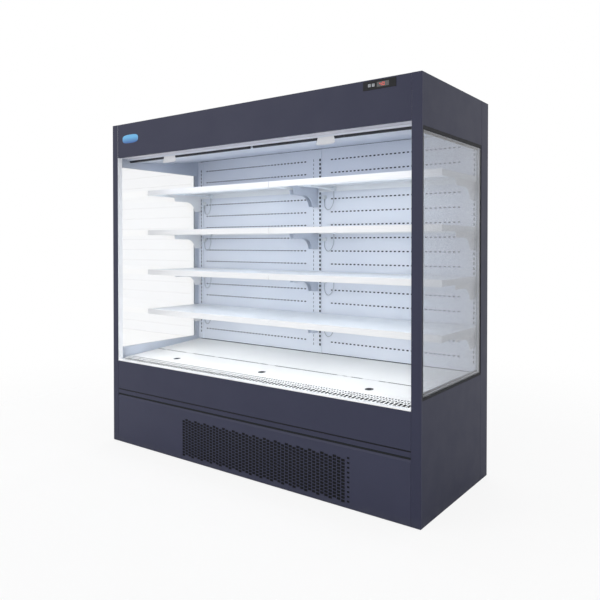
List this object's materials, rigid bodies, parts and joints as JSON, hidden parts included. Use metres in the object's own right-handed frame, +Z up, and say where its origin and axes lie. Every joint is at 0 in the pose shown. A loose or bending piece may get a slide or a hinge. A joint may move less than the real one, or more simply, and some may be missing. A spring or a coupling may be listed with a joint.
{
  "type": "open multideck display fridge",
  "caption": "Open-front refrigerated display cabinet with glazed end walls, shelf bays with price rails, lit canopy with pull-down night blinds, and a built-in cooling unit under the deck.",
  "frame": {"origin": "on the floor, under the middle of the cabinet's width and depth", "axes": "+X to the right as a customer faces the open front, +Y to the back, +Z up"},
  "size_m": [2.12, 0.8, 1.98],
  "materials": {
    "exterior_paint": "satin",
    "side_paint": "satin",
    "grille_paint": "satin",
    "interior_white": "satin",
    "shelf_white": "satin",
    "deck_white": "satin",
    "rail_white": "gloss",
    "glass": "gloss",
    "seal_rubber": "matte",
    "diffuser": "satin",
    "lamp_plastic": "satin",
    "lead_plastic": "satin",
    "blind_cloth": "matte",
    "blind_plastic": "satin",
    "galvanised": "satin",
    "coil_aluminium": "satin",
    "copper": "satin",
    "compressor_black": "satin",
    "fan_plastic": "matte",
    "box_grey": "matte",
    "controller_black": "satin",
    "display_smoke": "gloss",
    "key_grey": "satin"
  },
  "bodies": {
    "root": {"base_frame": "galvanised", "canopy_light": "diffuser", "canopy_rear_ceiling": "interior_white", "canopy_top": "exterior_paint", "compressor": "compressor_black", "condenser_coil": "coil_aluminium", "condenser_fan_shroud": "galvanised", "controller_bezel": "controller_black", "controller_display": "display_smoke", "deck_front_rail": "rail_white", "deck_rear_pans": "deck_white", "electrical_box": "box_grey", "evaporator_coil": "coil_aluminium", "evaporator_fan_plate": "galvanised", "front_panel": "exterior_paint", "glass_seals": "seal_rubber", "header_fascia": "exterior_paint", "insulated_tub": "interior_white", "kick_grille": "grille_paint", "lamp_carrier": "interior_white", "left_end_frame": "side_paint", "left_front_post": "exterior_paint", "left_side_glass": "glass", "levelling_feet": "galvanised", "machine_rear_cover": "side_paint", "price_rails": "rail_white", "rear_panel_left": "interior_white", "rear_panel_right": "interior_white", "rear_wall": "side_paint", "refrigerant_pipes": "copper", "return_grille": "deck_white", "right_end_frame": "side_paint", "right_front_post": "exterior_paint", "right_side_glass": "glass", "shelf_1_left": "shelf_white", "shelf_1_right": "shelf_white", "shelf_2_left": "shelf_white", "shelf_2_right": "shelf_white", "shelf_3_left": "shelf_white", "shelf_3_right": "shelf_white", "shelf_4_left": "shelf_white", "shelf_4_right": "shelf_white", "shelf_brackets": "shelf_white", "shelf_lamps": "lamp_plastic", "shelf_light_leads": "lead_plastic", "shelf_uprights": "interior_white"},
    "blind_bar_left": {"blind_bar_left": "blind_plastic", "blind_cloth_left": "blind_cloth"},
    "blind_roller_left": {"blind_roller_left": "blind_cloth"},
    "evaporator_fan_left": {"evaporator_fan_left": "fan_plastic"},
    "blind_bar_right": {"blind_bar_right": "blind_plastic", "blind_cloth_right": "blind_cloth"},
    "blind_roller_right": {"blind_roller_right": "blind_cloth"},
    "evaporator_fan_right": {"evaporator_fan_right": "fan_plastic"},
    "deck_cover_left": {"deck_cover_left": "deck_white"},
    "deck_cover_middle": {"deck_cover_middle": "deck_white"},
    "deck_cover_right": {"deck_cover_right": "deck_white"},
    "condenser_fan": {"condenser_fan_blade": "fan_plastic"},
    "key_up": {"controller_key_up": "key_grey"},
    "key_down": {"controller_key_down": "key_grey"}
  },
  "joints": [
    {"name": "blind_left_pull", "type": "slide", "parent": "root", "child": "blind_bar_left", "axis": [0, 0, -1], "range_m": [0, 1.15], "stiffness_N_per_m": 5, "springref_m": -3, "deforming": ["blind_cloth_left"]},
    {"name": "blind_left_roll", "type": "hinge", "parent": "root", "child": "blind_roller_left", "pos_m": [-0.5, -0.262, 1.862], "axis": [1, 0, 0], "range_deg": [0, 2550]},
    {"name": "blind_right_pull", "type": "slide", "parent": "root", "child": "blind_bar_right", "axis": [0, 0, -1], "range_m": [0, 1.15], "stiffness_N_per_m": 5, "springref_m": -3, "deforming": ["blind_cloth_right"]},
    {"name": "blind_right_roll", "type": "hinge", "parent": "root", "child": "blind_roller_right", "pos_m": [0.5, -0.262, 1.862], "axis": [1, 0, 0], "range_deg": [0, 2550]},
    {"name": "deck_cover_left_lift", "type": "hinge", "parent": "root", "child": "deck_cover_left", "pos_m": [-0.6885, -0.06238, 0.53381], "axis": [1, 0, 0], "range_deg": [-70, 0]},
    {"name": "deck_cover_middle_lift", "type": "hinge", "parent": "root", "child": "deck_cover_middle", "pos_m": [0, -0.06238, 0.53381], "axis": [1, 0, 0], "range_deg": [-70, 0]},
    {"name": "deck_cover_right_lift", "type": "hinge", "parent": "root", "child": "deck_cover_right", "pos_m": [0.6885, -0.06238, 0.53381], "axis": [1, 0, 0], "range_deg": [-70, 0]},
    {"name": "evaporator_fan_left_spin", "type": "hinge", "parent": "root", "child": "evaporator_fan_left", "pos_m": [-0.52, -0.07239, 0.43], "axis": [0, 1, 0], "continuous": true},
    {"name": "evaporator_fan_right_spin", "type": "hinge", "parent": "root", "child": "evaporator_fan_right", "pos_m": [0.52, -0.07239, 0.43], "axis": [0, 1, 0], "continuous": true},
    {"name": "condenser_fan_spin", "type": "hinge", "parent": "root", "child": "condenser_fan", "pos_m": [-0.22, -0.26, 0.166], "axis": [0, 1, 0], "continuous": true},
    {"name": "key_up_press", "type": "slide", "parent": "root", "child": "key_up", "axis": [0, 1, 0], "range_m": [0, 0.0015], "stiffness_N_per_m": 400, "springref_m": -0.001},
    {"name": "key_down_press", "type": "slide", "parent": "root", "child": "key_down", "axis": [0, 1, 0], "range_m": [0, 0.0015], "stiffness_N_per_m": 400, "springref_m": -0.001}
  ],
  "couplings": [
    {"joint": "blind_left_roll", "follows": "blind_left_pull", "rad_per_m": 38.462},
    {"joint": "blind_right_roll", "follows": "blind_right_pull", "rad_per_m": 38.462}
  ]
}
